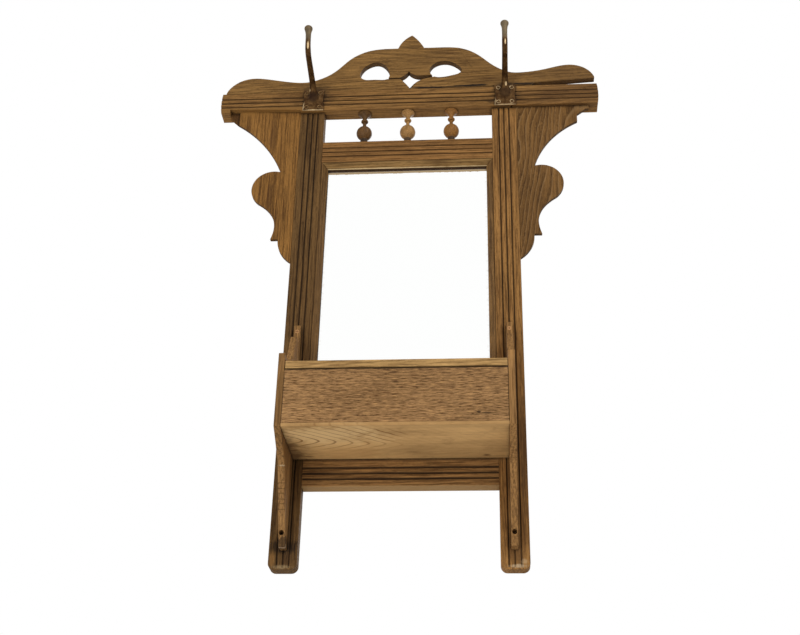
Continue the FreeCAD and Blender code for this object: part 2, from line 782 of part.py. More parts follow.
# Comb box side board: neck, slanted arm rest, horn, straight front and tapering tail
def box_side(side):
    x_left = min(side * box_outer_half, side * side_inner)
    body = side_plate((0, neck_top), [
        ("line", (neck_depth, neck_top)), ("line", (neck_depth, neck_foot)),
        ("arc", neck_hollow, shelf_corner), ("line", slant_foot),
        ("arc", scoop_middle, (box_depth, horn_top)), ("line", (box_depth, tail_front_height)),
        ("line", tail_knee), ("arc", tail_bend, tail_start), ("line", tail_end),
        ("line", (0, tail_end[1])), ("line", (0, neck_top)),
    ], x_left, side_thickness)
    tools = []
    for point, seat in side_screw_points(side):
        tools.append(screw_hole(point, back, *side_screw_size))
    tail_point = side_screw_points(side)[1][0]
    tools.append(rod(side_screw_head_radius + side_bore_play, box_depth, tail_point, front))
    tools += [screw_hole(p, Vector(-side, 0, 0), *nail_size) for p in box_nail_points(side)]
    return cut(body, tools)


def side_screws():
    return group([screw(point, back, *side_screw_size)
                  for side in (-1, 1) for point, seat in side_screw_points(side)])


# Comb box front, bottom and back boards, between the side boards
def box_front():
    body = block(-side_inner, side_inner, face_y - box_depth, face_y - box_depth + front_thickness,
                 box_floor, front_top)
    return cut(body, [screw_hole(p, Vector(-side, 0, 0), *nail_size)
                      for side in (-1, 1) for p in box_nail_points(side)])


def box_bottom():
    body = block(-side_inner, side_inner, face_y - box_depth, face_y, box_base_height, box_floor)
    return cut(body, [screw_hole(p, Vector(-side, 0, 0), *nail_size)
                      for side in (-1, 1) for p in box_nail_points(side)])


def box_back():
    body = block(-side_inner, side_inner, face_y - back_thickness, face_y, box_floor, lid_top)
    tools = [screw_hole(p, down, *hinge_screw_size) for p in hinge_screw_points(-1)]
    tools += [screw_hole(p, Vector(-side, 0, 0), *nail_size)
              for side in (-1, 1) for p in box_nail_points(side)]
    return cut(body, tools)


def box_nail_points(side):
    x = side * box_outer_half
    front_y = face_y - box_depth + front_thickness / 2
    back_y = face_y - back_thickness / 2
    floor_z = box_base_height + bottom_thickness / 2
    points = [Vector(x, front_y, box_floor + share * front_height) for share in nail_front_shares]
    points += [Vector(x, back_y, box_floor + share * front_height) for share in nail_front_shares]
    points += [Vector(x, face_y - share * box_depth, floor_z) for share in nail_floor_shares]
    return points


def box_nails():
    return group([screw(p, Vector(-side, 0, 0), *nail_size)
                  for side in (-1, 1) for p in box_nail_points(side)])


def box_lid():
    half = side_inner - lid_end_gap
    body = block(-half, half, face_y - box_depth, face_y - back_thickness - lid_rear_gap, lid_base, lid_top)
    return cut(body, [screw_hole(p, down, *hinge_screw_size) for p in hinge_screw_points(1)])


# Hinges: the fixed leaf has the two outer knuckles, the lid leaf has the middle one
def hinge_leaf(centre_x, sign, width, knuckles):
    y_axis = face_y - hinge_axis_depth
    clear = hinge_barrel_radius + hinge_knuckle_gap
    y0 = y_axis - sign * clear
    y1 = y_axis - sign * (clear + width)
    z1 = lid_top + hinge_leaf_thickness
    half = hinge_length / 2
    pieces = [block(centre_x - half, centre_x + half, min(y0, y1), max(y0, y1), lid_top, z1)]
    third = hinge_length / 3
    for index in knuckles:
        x0 = centre_x - half + index * third + hinge_knuckle_gap / 2
        length = third - hinge_knuckle_gap
        reach = y_axis - sign * (hinge_pin_radius + hinge_pin_play)
        pieces.append(block(x0, x0 + length, min(reach, y0), max(reach, y0), lid_top + hinge_lift / 2, z1))
        pieces.append(rod(hinge_barrel_radius, length, Vector(x0, y_axis, hinge_axis_z), Vector(1, 0, 0)))
    bore = rod(hinge_pin_radius + hinge_pin_play, hinge_length + 2 * overrun,
               Vector(centre_x - half - overrun, y_axis, hinge_axis_z), Vector(1, 0, 0))
    return union(pieces).cut(bore)


def hinge_fixed_leaves():
    holes = [screw_hole(p, down, *hinge_screw_size) for p in hinge_screw_points(-1)]
    return group([cut(hinge_leaf(side * hinge_x, -1, hinge_fixed_leaf, (0, 2)), holes) for side in (-1, 1)])


def hinge_lid_leaves():
    holes = [screw_hole(p, down, *hinge_screw_size) for p in hinge_screw_points(1)]
    return group([cut(hinge_leaf(side * hinge_x, 1, hinge_lid_leaf, (1,)), holes) for side in (-1, 1)])


def hinge_pins():
    pins = []
    for side in (-1, 1):
        start = Vector(side * hinge_x - hinge_length / 2, face_y - hinge_axis_depth, hinge_axis_z)
        end = start + right * hinge_length
        pin = rod(hinge_pin_radius, hinge_length, start, right)
        cap_a = rod(hinge_pin_head_radius, hinge_pin_head_height, start, -right)
        cap_b = rod(hinge_pin_head_radius, hinge_pin_head_height, end, right)
        pins.append(union([pin, cap_a, cap_b]))
    return group(pins)


def hinge_screws(sign):
    return group([screw(p, down, *hinge_screw_size) for p in hinge_screw_points(sign)])


# Hanger plates, flush with the back, each with one round hanging hole
def hanger_plates():
    plates = []
    for side in (-1, 1):
        x = side * stile_centre
        plate = block(x - hanger_width / 2, x + hanger_width / 2, -hanger_thickness, 0,
                      hang_height - hanger_height / 2, hang_height + hanger_height / 2)
        hole = rod(hanger_hole_radius, hanger_thickness + 2 * overrun, Vector(x, overrun, hang_height), front)
        holes = [hole] + [screw_hole(p, front, *hanger_screw_size) for p in hanger_screw_points(side)]
        plates.append(cut(plate, holes))
    return group(plates)


def hanger_screws():
    return group([screw(p, front, *hanger_screw_size) for side in (-1, 1) for p in hanger_screw_points(side)])


nodes = {
    "crest_board": crest_board(),
    "crest_dowels": crest_dowels(),
    "crest_rail": crest_rail(),
    "left_stile": stile(-1),
    "right_stile": stile(1),
    "top_rail": inner_rail(top_rail_base, True),
    "bottom_rail": inner_rail(bottom_rail_height, False),
    "left_wing": wing(-1, True),
    "right_wing": wing(1, False),
    "wing_dowels": wing_dowels(),
    "bead_bottom": bead_level(bottom_rail_top, 1),
    "bead_top": bead_level(top_rail_base, -1),
    "bead_left": bead_upright(-1),
    "bead_right": bead_upright(1),
    "mirror_glass": mirror_glass(),
    "mirror_backboard": mirror_backboard(),
    "glazing_pins": glazing_pins(),
    "left_hook": hook(hook_left_x),
    "right_hook": hook(hook_right_x),
    "left_hook_screws": hook_screws(hook_left_x),
    "right_hook_screws": hook_screws(hook_right_x),
    "box_side_left": box_side(-1),
    "box_side_right": box_side(1),
    "side_screws": side_screws(),
    "box_front": box_front(),
    "box_bottom": box_bottom(),
    "box_back": box_back(),
    "box_nails": box_nails(),
    "box_lid": box_lid(),
    "hinge_fixed_leaves": hinge_fixed_leaves(),
    "hinge_lid_leaves": hinge_lid_leaves(),
    "hinge_pins": hinge_pins(),
    "hinge_fixed_screws": hinge_screws(-1),
    "hinge_lid_screws": hinge_screws(1),
    "hanger_plates": hanger_plates(),
    "hanger_screws": hanger_screws(),
}
for name, point in zip(("spindle_left", "spindle_centre", "spindle_right"), spindle_points()):
    nodes[name] = spindle(point)

os.makedirs("parts", exist_ok=True)
for name, shape in nodes.items():
    shape.translate(Vector(0, 0, -origin_height))
    shape.exportStep(os.path.join("parts", name + ".step"))
    print(name, len(shape.Solids), round(shape.Volume), shape.isValid())
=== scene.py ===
import math

import bpy
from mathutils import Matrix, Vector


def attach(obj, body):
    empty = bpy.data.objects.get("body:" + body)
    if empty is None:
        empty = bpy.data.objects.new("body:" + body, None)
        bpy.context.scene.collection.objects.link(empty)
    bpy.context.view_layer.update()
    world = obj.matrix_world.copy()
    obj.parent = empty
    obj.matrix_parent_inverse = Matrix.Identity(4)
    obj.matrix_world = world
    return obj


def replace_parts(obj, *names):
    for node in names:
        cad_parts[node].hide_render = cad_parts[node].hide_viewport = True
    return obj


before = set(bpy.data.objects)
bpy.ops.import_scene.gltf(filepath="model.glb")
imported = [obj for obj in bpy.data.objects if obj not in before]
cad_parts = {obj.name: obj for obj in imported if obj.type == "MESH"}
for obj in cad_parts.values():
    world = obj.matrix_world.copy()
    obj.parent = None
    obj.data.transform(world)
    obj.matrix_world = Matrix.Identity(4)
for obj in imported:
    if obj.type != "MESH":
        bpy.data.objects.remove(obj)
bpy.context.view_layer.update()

# Studio: the cabinet hangs in the air over a pale floor, as it would on a wall. The backdrop is plain
# white, also in the mirror. Two wide soft lamps light the front from both sides, and one the back.
class Shade:
    """One socket of a node tree. Sums and products of sockets add Math nodes."""

    def __init__(self, tree, socket=None):
        self.tree = tree
        self.socket = socket

    def node(self, kind, settings=None, values=None, output=0):
        made = self.tree.nodes.new("ShaderNode" + kind)
        for key, value in (settings or {}).items():
            setattr(made, key, value)
        for key, value in (values or {}).items():
            if isinstance(value, Shade):
                self.tree.links.new(value.socket, made.inputs[key])
            else:
                made.inputs[key].default_value = value
        return Shade(self.tree, made.outputs[output] if len(made.outputs) else None)

    def math(self, operation, *others):
        return self.node("Math", {"operation": operation}, dict(enumerate((self, *others))))

    def __add__(self, other):
        return self.math("ADD", other)

    __radd__ = __add__

    def __mul__(self, other):
        return self.math("MULTIPLY", other)

    __rmul__ = __mul__

    def __sub__(self, other):
        return self.math("SUBTRACT", other)

    def __rsub__(self, other):
        return self.node("Math", {"operation": "SUBTRACT"}, {0: other, 1: self})

    def __truediv__(self, other):
        return self.math("DIVIDE", other)


def ramp(value, low, high, start=0.0, end=1.0):
    """Start below low, end above high, and a smooth step between them."""
    return value.node("MapRange", {"interpolation_type": "SMOOTHSTEP"},
                      {0: value, 1: low, 2: high, 3: start, 4: end})


def blend(share, first, second):
    """The first colour where share is 0, the second where it is 1."""
    return share.node("Mix", {"data_type": "RGBA", "clamp_factor": True}, {0: share, 6: first, 7: second}, 2)


def paint(red, green, blue, gain=1.0):
    """A colour read off as 0 to 255, as the linear colour that Blender takes."""
    parts = [(c / 255 / 12.92 if c <= 10 else ((c / 255 + 0.055) / 1.055) ** 2.4) for c in (red, green, blue)]
    return (*[gain * part for part in parts], 1.0)


def bare_material(name):
    """A new material, and a start for the nodes of its empty tree."""
    finish = bpy.data.materials.new(name)
    finish.use_nodes = True
    finish.node_tree.nodes.clear()
    return finish, Shade(finish.node_tree)


def dress(piece, finish):
    piece.data.materials.clear()
    piece.data.materials.append(finish)


def deselect():
    if bpy.context.object and bpy.context.object.mode != "OBJECT":
        bpy.ops.object.mode_set(mode="OBJECT")
    bpy.ops.object.select_all(action="DESELECT")


room_tone, room_strength = (1.0, 0.985, 0.96, 1.0), 0.45
white_tone, white_strength = (1.0, 1.0, 1.0, 1.0), 1.0
world = bpy.data.worlds.new("white_studio")
bpy.context.scene.world = world
world.use_nodes = True
world.node_tree.nodes.clear()
sky = Shade(world.node_tree)
seen = (sky.node("LightPath", output="Is Camera Ray") + sky.node("LightPath", output="Is Glossy Ray")
        + sky.node("LightPath", output="Is Transmission Ray"))
room_light = sky.node("Background", {}, {"Color": room_tone, "Strength": room_strength})
white = sky.node("Background", {}, {"Color": white_tone, "Strength": white_strength})
shown = sky.node("MixShader", {}, {0: seen.math("MINIMUM", 1.0), 1: room_light, 2: white})
sky.node("OutputWorld", {}, {"Surface": shown})

for name, place, aim, size, power in (
    ("window_right", (1.55, -2.3, 0.75), (0.0, 0.0, -0.35), 1.7, 30.0),
    ("window_left", (-1.1, -1.9, -1.5), (0.0, 0.0, -0.4), 1.6, 26.0),
    ("window_back", (0.6, 2.6, 1.2), (0.0, 0.0, -0.35), 2.0, 30.0),
):
    lamp = bpy.data.lights.new(name, "AREA")
    lamp.shape, lamp.size, lamp.energy = "SQUARE", size, power
    stand = bpy.data.objects.new(name, lamp)
    stand.location = place
    away = stand.location - Vector(aim)
    stand.rotation_euler = away.to_track_quat("Z", "Y").to_euler()
    stand.visible_camera = False
    bpy.context.scene.collection.objects.link(stand)

focal_length, sensor_width = 55.7075, 36.0
camera_place = (0.12258345, -1.56773552, -1.26072781)
camera_turn = (119.13365, -1.146264, 4.065178)
lens = bpy.data.cameras.new("camera")
lens.lens, lens.sensor_width = focal_length, sensor_width
camera = bpy.data.objects.new("camera", lens)
camera.location = camera_place
camera.rotation_euler = [math.radians(angle) for angle in camera_turn]
bpy.context.scene.collection.objects.link(camera)
bpy.context.scene.camera = camera

floor_level, floor_radius, floor_sides = -1.95, 9.0, 96
deselect()
bpy.ops.mesh.primitive_circle_add(vertices=floor_sides, radius=floor_radius, fill_type="NGON",
                                  location=(0, 0, floor_level))
floor = bpy.context.object
floor.name = "floor"
plaster, ground = bare_material("pale_floor")
speckle = ground.node("TexNoise", {}, {"Scale": 3.0, "Detail": 5.0})
ground.node("OutputMaterial", {}, {"Surface": ground.node("BsdfPrincipled", {}, {
    "Base Color": blend(speckle, paint(243, 242, 240), paint(249, 249, 248)), "Roughness": 0.9})})
dress(floor, plaster)
bpy.context.scene.view_settings.view_transform = "Standard"

# Stiles: the two uprights, planed oak of one and a half by three quarter inches, reeded with three
# V grooves that stop just above the rounded feet. Years of handling have dulled the arrises.
same_point, shortest_edge, arris_segments = 0.000001, 0.00052, 3
flat_angle, sharp_angle, smooth_angle = math.radians(0.5), math.radians(40), math.radians(35)


def board(node, piece, edge, finish, body="cabinet", cuts=()):
    """A copy of a board's CAD node with its sharp edges taken off by edge, apart from the short ones round
    small holes. Its flat faces are parted at the cuts, an axis and a place in mm each, so that no face runs
    round a hole."""
    made = bpy.data.objects.new(piece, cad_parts[node].data.copy())
    bpy.context.scene.collection.objects.link(made)
    dress(made, finish)
    deselect()
    made.select_set(True)
    bpy.context.view_layer.objects.active = made
    bpy.ops.object.mode_set(mode="EDIT")
    bpy.ops.mesh.select_mode(type="EDGE")
    bpy.ops.mesh.select_all(action="SELECT")
    bpy.ops.mesh.customdata_custom_splitnormals_clear()
    bpy.ops.mesh.remove_doubles(threshold=same_point)
    for axis, place in cuts:
        plane = [place / 1000 if letter == axis else 0.0 for letter in "xyz"]
        facing = [1.0 if letter == axis else 0.0 for letter in "xyz"]
        bpy.ops.mesh.select_all(action="SELECT")
        bpy.ops.mesh.bisect(plane_co=plane, plane_no=facing)
        bpy.ops.mesh.mark_seam(clear=False)
    bpy.ops.mesh.select_all(action="SELECT")
    bpy.ops.mesh.dissolve_limited(angle_limit=flat_angle, delimit={"SEAM"})
    bpy.ops.mesh.select_all(action="DESELECT")
    bpy.ops.mesh.edges_select_sharp(sharpness=sharp_angle)
    bpy.ops.object.mode_set(mode="OBJECT")
    dots = made.data.vertices
    for line in made.data.edges:
        a, b = line.vertices
        if line.select and (dots[a].co - dots[b].co).length < shortest_edge:
            line.select = False
    bpy.ops.object.mode_set(mode="EDIT")
    bpy.ops.mesh.bevel(offset=edge, segments=arris_segments, affect="EDGES", clamp_overlap=False,
                       loop_slide=True)
    bpy.ops.object.mode_set(mode="OBJECT")
    bpy.ops.object.shade_smooth_by_angle(angle=smooth_angle)
    flat = made.modifiers.new("flat_faces", "WEIGHTED_NORMAL")
    flat.keep_sharp = True
    bpy.ops.object.modifier_apply(modifier=flat.name)
    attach(made, body)
    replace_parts(made, node)


def oak(name, grain, tone, seed, spacing=3.4, heart=(60.0, 45.0), heart_slope=0.0, lean=0.01, figure=20.0,
        rings=0.22, pores=0.7, fibres=1.2, streaks=1.0, strands=0.6, strand=(60.0, 2.1), flecks=0.0,
        arches=None, shade_and_dirt=0.85, wear_and_highlight=0.4, roughness=0.66, grooves=(), groove_reach=0.5, groove_face=0.0,
        groove_foot=None, sawn=None, sawn_dark=0.65, marks=(), mark_depth=1000.0):
    """Old oiled oak. Grain names the axes along, across and through the board. The log's heart lies at
    heart, across and through the board in mm, heart_slope slants it, and lean lets the rings run out into
    arches. Strand is the length and width in mm of its light and dark strands, and flecks shows its rays.
    Arches are thin ring lines round a place, given like a mark's. Grooves are places across the board where
    a V groove in the face at groove_face, above groove_foot, is painted dark, as grime and painted shade.
    Behind sawn, the sawn edges and the back are darker, as darker sawn wood and painted shade. Corners are
    darkened as grime and painted shade, and arrises are painted pale as wear and a painted highlight. A mark
    is a place along and across, its reach and width, how strong it is, and its colour. Marks end at
    mark_depth through the board."""
    finish, start = bare_material(name)
    point = start.node("TexCoord", output="Object")
    point = start.node("VectorMath", {"operation": "SCALE"}, {0: point, "Scale": 1000.0})
    along, across, through = (start.node("SeparateXYZ", {}, {0: point}, letter.upper()) for letter in grain)

    def noise(reach, width, detail=2.0, rough=0.5, shift=0.0):
        spot = start.node("CombineXYZ", {}, {0: along / reach + (seed * 7.31 + shift),
                                             1: across / width + seed * 3.7,
                                             2: through / width + shift})
        return start.node("TexNoise", {},
                          {"Vector": spot, "Scale": 1.0, "Detail": detail, "Roughness": rough})

    def toned(red, green, blue, gain=1.0):
        return paint(tone[0] * red, tone[1] * green, tone[2] * blue, gain)

    def away_from(far, wide, reach, width):
        lengthways = ((along - far) / reach).math("POWER", 2.0)
        crossways = ((across - wide) / width).math("POWER", 2.0)
        return (lengthways + crossways).math("SQRT")

    # Year rings round the heart, wavering along the board, some years stronger than others.
    drift = noise(230.0, 70.0, 1.0) - 0.5
    ripple = noise(30.0, 10.0, 3.0, 0.55, 5.0) - 0.5
    sideways = across - heart[0] - along * heart_slope + drift * figure + ripple * 5.0
    inwards = through - heart[1] + drift * (figure / 3)
    ring = ((sideways * sideways + inwards * inwards).math("SQRT") + along * lean) / spacing
    phase = ring.math("FRACT")
    year = start.node("TexWhiteNoise", {"noise_dimensions": "1D"}, {"W": ring.math("FLOOR")})
    early = (1.0 - ramp(phase, 0.0, 0.55)).math("MAXIMUM", ramp(phase, 0.8, 1.0))

    # Open pores in the early wood, fine fibres, long streaks and broad clouds.
    vessels = ramp(noise(9.0, 0.9, 2.0, 0.6, 11.0), 0.54, 0.66)
    ticks = ramp(noise(4.5, 0.5, 1.0, 0.5, 17.0), 0.56, 0.68)
    pore = (vessels * 0.8 + ticks * 0.45) * (0.4 + 0.6 * early)
    fibre = noise(22.0, 1.2, 3.0, 0.65, 23.0) - 0.5
    streak = noise(75.0, 4.5, 3.0, 0.6, 29.0) - 0.5
    cloud = noise(150.0, 32.0, 2.0, 0.5, 31.0) - 0.5
    ring_shade = (early - 0.35) * (rings * (0.4 + 1.2 * year))
    depth = fibre * fibres + streak * streaks + cloud * 1.1 - ring_shade + 0.5
    colour = blend(depth.math("MAXIMUM", 0.0).math("MINIMUM", 1.0),
                   toned(1.0, 0.96, 0.9, 0.45), toned(1.0, 1.0, 1.0, 1.6))
    strip = noise(*strand, 3.0, 0.55, 37.0) + ripple * 0.12
    colour = blend(ramp(strip, 0.48, 0.36) * strands * 0.6, colour, toned(1.0, 0.99, 0.94, 1.9))
    colour = blend(ramp(strip, 0.53, 0.64) * strands, colour, toned(0.62, 0.54, 0.44))
    if flecks:
        ray = ramp(noise(5.0, 1.6, 2.0, 0.6, 53.0) + ripple * 0.5, 0.56, 0.64)
        ray_patch = ramp(noise(60.0, 25.0, 1.0, 0.5, 59.0), 0.4, 0.6)
        colour = blend(ray * ray_patch * flecks, colour, toned(1.0, 1.0, 1.0, 1.8))
    colour = blend(pore * pores, colour, toned(0.5, 0.45, 0.4))

    # Old oil and soot in blots; sawn edges darker, as sawn wood and painted shade; grime and painted shade in
    # corners and grooves.
    blot = noise(26.0, 20.0, 4.0, 0.6, 41.0)
    colour = blend(ramp(blot, 0.54, 0.8) * 0.45, colour, toned(0.62, 0.56, 0.5))
    if sawn is not None:
        colour = blend(ramp(through, sawn + 0.4, sawn + 1.2) * sawn_dark, colour, paint(58, 38, 22))
    corner = start.node("AmbientOcclusion", {"samples": 6}, {"Distance": 0.0055}, "AO")
    grime_and_shade = (ramp(corner, 0.42, 0.96, 1.0, 0.0) * (0.8 + 0.8 * (blot - 0.5))).math("MINIMUM", 1.0)
    for place in grooves:
        off_middle = (across - place + ripple * 0.5).math("ABSOLUTE")
        line = ramp(off_middle, groove_reach, groove_reach + 1.1, 1.0, 0.0)
        line = line * ramp(through, groove_face + 1.9, groove_face + 2.6, 1.0, 0.0)
        if groove_foot is not None:
            line = line * ramp(along, groove_foot - 1.0, groove_foot + 1.5)
        grime_and_shade = grime_and_shade.math("MAXIMUM", line * (0.85 + streak * 0.9))
    colour = blend(grime_and_shade * shade_and_dirt, colour, paint(36, 24, 14))

    # Arrises painted pale, as wear and a painted highlight, then this board's own marks and arches.
    arris = start.node("AmbientOcclusion", {"samples": 6, "inside": True, "only_local": True},
                       {"Distance": 0.0022}, "AO")
    rubbed_and_highlit = ramp(arris, 0.35, 0.8, 1.0, 0.0) * ramp(noise(24.0, 16.0, 3.0, 0.6, 61.0), 0.35, 0.6)
    colour = blend(rubbed_and_highlit * wear_and_highlight, colour, toned(1.12, 1.1, 1.08, 1.25))
    in_front = ramp(through, mark_depth, mark_depth + 1.0, 1.0, 0.0)
    for far, wide, reach, width, strength, tint in marks:
        away = away_from(far, wide, reach, width)
        share = ramp(away + (blot - 0.5) * 1.6 + fibre * 1.5, 0.35, 1.0, 1.0, 0.0) * in_front * strength
        colour = blend(share, colour, paint(*tint))
    if arches:
        far, wide, reach, width, strength, tint = arches
        outside = ramp(away_from(far, wide, reach, width) + cloud, 0.55, 1.0, 1.0, 0.0)
        thin = ramp(phase, 0.74, 0.9) * ramp(phase, 0.93, 1.0, 1.0, 0.0) * outside
        colour = blend(thin * strength * (0.5 + 0.5 * year), colour, paint(*tint))
    height = fibre * 0.6 - pore * 0.9 - strip * 1.2 + ripple * 0.3
    relief = start.node("Bump", {}, {"Strength": 0.6, "Distance": 0.0006, "Height": height}, "Normal")
    surface = start.node("BsdfPrincipled", {}, {
        "Base Color": colour, "Roughness": pore * 0.15 + grime_and_shade * 0.15 + fibre * 0.25 + roughness,
        "Specular IOR Level": 0.12, "Normal": relief})
    start.node("OutputMaterial", {}, {"Surface": surface})
    return finish


stile_edge = 0.0007
stile_grooves = (159.17, 151.17, 143.17)
stile_foot, stile_face, stile_mark_depth = -764.0, -19.05, -17.5
stile_cuts = [("z", place) for place in (-733.1, -725.05, -633.8, -539.9, -420.15, -365.35, -242.0, -190.8,
                                         -158.4, -96.9, -65.15, -48.15, -41.35, -31.15, 0.0)]
# A near-black for soot, dark joints and painted shadow lines.
soot_and_shade = (30, 20, 12)
board("left_stile", "stile_left_oak", stile_edge,
      oak("oak_left_stile", "zxy", (98, 72, 40), 3, heart=(-190.0, 60.0), lean=0.02, shade_and_dirt=0.95,
          grooves=[-place for place in stile_grooves], groove_face=stile_face, groove_foot=stile_foot,
          # The first two marks darken the foot just below the box.
          marks=((-738.0, -150.0, 14.0, 22.0, 0.85, soot_and_shade),
                 (-752.0, -147.0, 14.0, 12.0, 0.6, (60, 40, 22)),
                 (-763.5, -152.0, 3.5, 15.0, 0.55, (160, 136, 100)),
                 (-752.0, -165.0, 12.0, 4.0, 0.7, (134, 96, 52))),
          mark_depth=stile_mark_depth),
      cuts=stile_cuts)
board("right_stile", "stile_right_oak", stile_edge,
      oak("oak_right_stile", "zxy", (138, 100, 55), 8, heart=(210.0, 50.0), lean=-0.015, shade_and_dirt=0.95,
          grooves=stile_grooves, groove_face=stile_face, groove_foot=stile_foot,
          marks=((-763.0, 154.0, 3.0, 15.0, 0.65, (196, 172, 138)),
                 (-757.0, 163.0, 4.0, 5.0, 0.5, (190, 160, 120)),
                 (-745.0, 150.0, 14.0, 16.0, 0.4, (84, 58, 34)),
                 # The last mark is a painted shadow of the box's right side, cast on the stile to its right.
                 (-600.0, 167.0, 110.0, 9.0, 0.6, (84, 58, 32)))),
      cuts=stile_cuts)

# Inner rails: two reeded oak bars tenoned between the stiles, above and below the mirror. Their grooves
# run up to the stiles, where grime and painted shade darken the corners.
rail_edge = 0.0006
rail_groove_rises = (26.67, 18.67, 10.67)
top_rail_base, bottom_rail_base = -115.95, -652.85
board("top_rail", "top_rail_oak", rail_edge,
      oak("oak_top_rail", "xzy", (131, 94, 52), 12, heart=(-150.0, 40.0), lean=0.015,
          grooves=[top_rail_base + rise for rise in rail_groove_rises], groove_face=stile_face),
      cuts=[("x", place) for place in (-68.6, 0.0, 68.6)])
board("bottom_rail", "bottom_rail_oak", rail_edge,
      oak("oak_bottom_rail", "xzy", (139, 103, 61), 17, heart=(-600.0, 50.0), lean=0.02, shade_and_dirt=0.95,
          grooves=[bottom_rail_base + rise for rise in rail_groove_rises], groove_reach=1.0,
          # The mark paints the rail's lower arris and underside pale: painted light from below.
          groove_face=stile_face, marks=((0.0, -653.2, 420.0, 2.4, 0.95, (158, 124, 80)),)))

# Crest rail: a thicker reeded oak bar across the stile tops, wider than the frame, its ends slightly
# bowed. The crest board is dowelled on its top, and the hooks are screwed to its face.
crest_rail_edge = 0.0007
crest_rail_base, crest_face, crest_rail_mark_depth = -19.05, -25.4, -16.0
board("crest_rail", "crest_rail_oak", crest_rail_edge,
      oak("oak_crest_rail", "xzy", (131, 96, 53), 21, heart=(26.0, 60.0), lean=0.012, figure=30.0, shade_and_dirt=0.95,
          grooves=[crest_rail_base + rise for rise in rail_groove_rises], groove_face=crest_face,
          marks=((-150.0, 0.0, 34.0, 24.0, 0.7, soot_and_shade),
                 (154.0, 0.0, 36.0, 24.0, 0.7, soot_and_shade),
                 # The third mark paints the band above the left wing and the underside of its rabbet in the
                 # wing's lit tone: painted light over the shade there.
                 (-236.0, -15.5, 165.0, 7.0, 1.0, (134, 97, 50)),
                 (255.0, 0.0, 90.0, 60.0, 0.4, (80, 54, 30))),
          mark_depth=crest_rail_mark_depth),
      cuts=[("x", place) for place in (-184.5, -161.0, -151.55, -140.0, -118.5, -68.6, 0.0, 68.6, 122.0,
                                       143.5, 151.55, 164.5, 188.0)])

# Crest board: a thin oak board on the crest rail, fret-sawn into scrolls, two eyes and a star, and split
# from the rail along its foot towards the right end. Two hidden dowels at each side hold it.
crest_board_edge, crest_board_mark_depth = 0.0005, -24.0
board("crest_board", "crest_board_oak", crest_board_edge,
      oak("oak_crest_board", "xzy", (125, 93, 51), 27, spacing=4.2, heart=(70.0, 26.0), lean=0.05,
          figure=34.0, sawn=crest_face,
          marks=((-150.0, 22.0, 30.0, 14.0, 0.5, soot_and_shade),
                 (156.0, 22.0, 30.0, 12.0, 0.5, soot_and_shade),
                 (262.0, 40.0, 90.0, 34.0, 0.4, (84, 60, 34)),
                 (40.0, 20.8, 48.0, 2.8, 1.0, soot_and_shade),
                 (96.0, 22.2, 52.0, 2.8, 1.0, soot_and_shade),
                 (178.0, 22.6, 46.0, 2.8, 1.0, soot_and_shade),
                 (3.0, 103.8, 24.0, 1.3, 0.5, soot_and_shade)),
          mark_depth=crest_board_mark_depth),
      cuts=[("x", place) for place in (-184.5, -118.5, -70.0, -54.0, -36.0, -12.0, 2.0, 14.9, 38.0, 60.0,
                                       80.0, 122.0, 188.0, 196.7, 201.2)])

# Wings: thin fret-sawn oak brackets in the angles of stiles and crest rail, dowelled to the stiles. The left
# one is a golden board with bold stripes and a broken tip, the right one is browner and figured.
wing_edge = 0.0006
board("left_wing", "wing_left_oak", wing_edge,
      oak("oak_left_wing", "zxy", (126, 89, 44), 33, spacing=13.0, heart=(-260.0, 26.0), lean=0.03,
          rings=0.15, streaks=0.9, fibres=1.6, strands=0.8, figure=26.0, strand=(90.0, 1.7),
          sawn=stile_face,
          marks=((-60.0, -213.0, 60.0, 6.0, 0.45, (70, 45, 24)),
                 (-185.0, -210.0, 40.0, 6.0, 0.4, (70, 45, 24)),
                 # The last mark paints the outer top of the wing in a lit golden tone: painted light over the
                 # shade under the crest rail.
                 (-9.0, -264.0, 15.0, 80.0, 0.9, (140, 100, 50))),
          mark_depth=stile_mark_depth))
board("right_wing", "wing_right_oak", wing_edge,
      oak("oak_right_wing", "zxy", (110, 79, 42), 39, spacing=8.0, heart=(290.0, 30.0), lean=0.13,
          flecks=0.4, rings=0.36, strands=0.4, figure=90.0, sawn=stile_face,
          arches=(-150.0, 230.0, 420.0, 260.0, 0.5, (158, 124, 82))))

# Dowels: loose beech pegs in blind holes, four between the crest board and its rail, and three between
# each wing and its stile. Nothing of them shows.
def plain(node, finish):
    """A CAD node that stays, in its own finish."""
    dress(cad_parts[node], finish)


dowel_wood = oak("dowel_beech", "zxy", (150, 116, 76), 44, pores=0.3, wear_and_highlight=0.0)
plain("crest_dowels", dowel_wood)
plain("wing_dowels", dowel_wood)

# Bead: four oak sticks, mitred at the corners and glued in round the mirror, sloped towards the glass. Dirt
# fills their joint with the frame, their sawn backs are darker, as sawn wood and painted shade, and the lip
# of the top one is painted pale, as wear and a painted highlight.
bead_edge, bead_back = 0.0004, -11.6
worn_lip_highlight = (0.0, -125.2, 400.0, 0.9, 1.0, (206, 180, 134))
for name, grain, tone, seed, joint, marks in (
    ("top", "xzy", (134, 104, 62), 51, -116.3, (worn_lip_highlight,)),
    ("bottom", "xzy", (122, 92, 54), 54, -614.4, ()),
    ("left", "zxy", (108, 80, 46), 57, -132.2, ()),
    ("right", "zxy", (116, 86, 50), 60, 132.2, ()),
):
    board("bead_" + name, "bead_" + name + "_oak", bead_edge,
          oak("oak_bead_" + name, grain, tone, seed, heart=(400.0, 30.0), pores=0.6, sawn=bead_back,
              sawn_dark=0.9, grooves=(joint,), groove_reach=0.3, groove_face=stile_face, marks=marks,
              mark_depth=bead_back))

